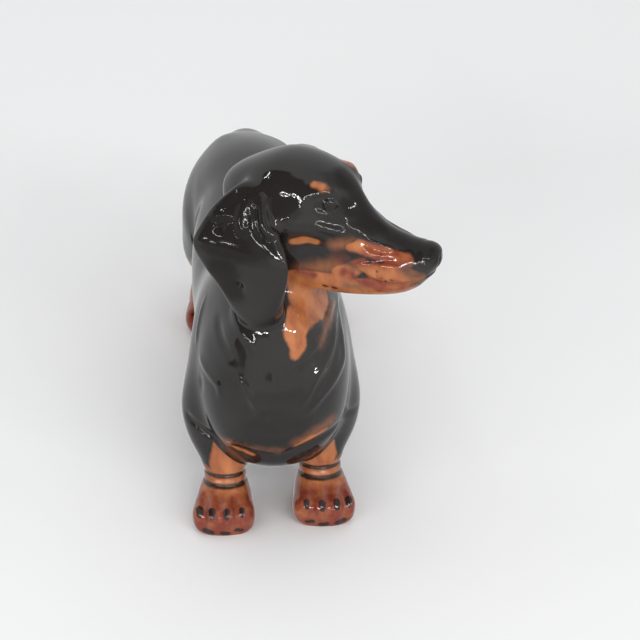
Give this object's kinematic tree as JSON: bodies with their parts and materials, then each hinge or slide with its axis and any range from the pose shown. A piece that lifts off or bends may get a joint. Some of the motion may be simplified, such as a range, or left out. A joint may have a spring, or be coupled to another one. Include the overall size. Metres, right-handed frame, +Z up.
{
  "type": "ceramic dog figurine",
  "caption": "Glazed ceramic figurine of a standing black and tan dachshund, its head turned to its left, with hanging ears and a lowered tail.",
  "frame": {"origin": "under the middle of the figurine's bounding box, on the surface that its four paws stand on", "axes": "+Z up; the dog faces -Y with its tail towards +Y; its own left side is towards +X, and its head is turned that way"},
  "size_m": [0.0628, 0.1584, 0.0993],
  "materials": {
    "black_glaze": "gloss",
    "tan_glaze": "gloss"
  },
  "bodies": {
    "root": {"torso": "black_glaze", "head": "black_glaze", "ear_left": "black_glaze", "ear_right": "black_glaze", "foreleg_left": "tan_glaze", "foreleg_right": "tan_glaze", "hindleg_left": "tan_glaze", "hindleg_right": "tan_glaze", "tail": "black_glaze"}
  },
  "joints": []
}
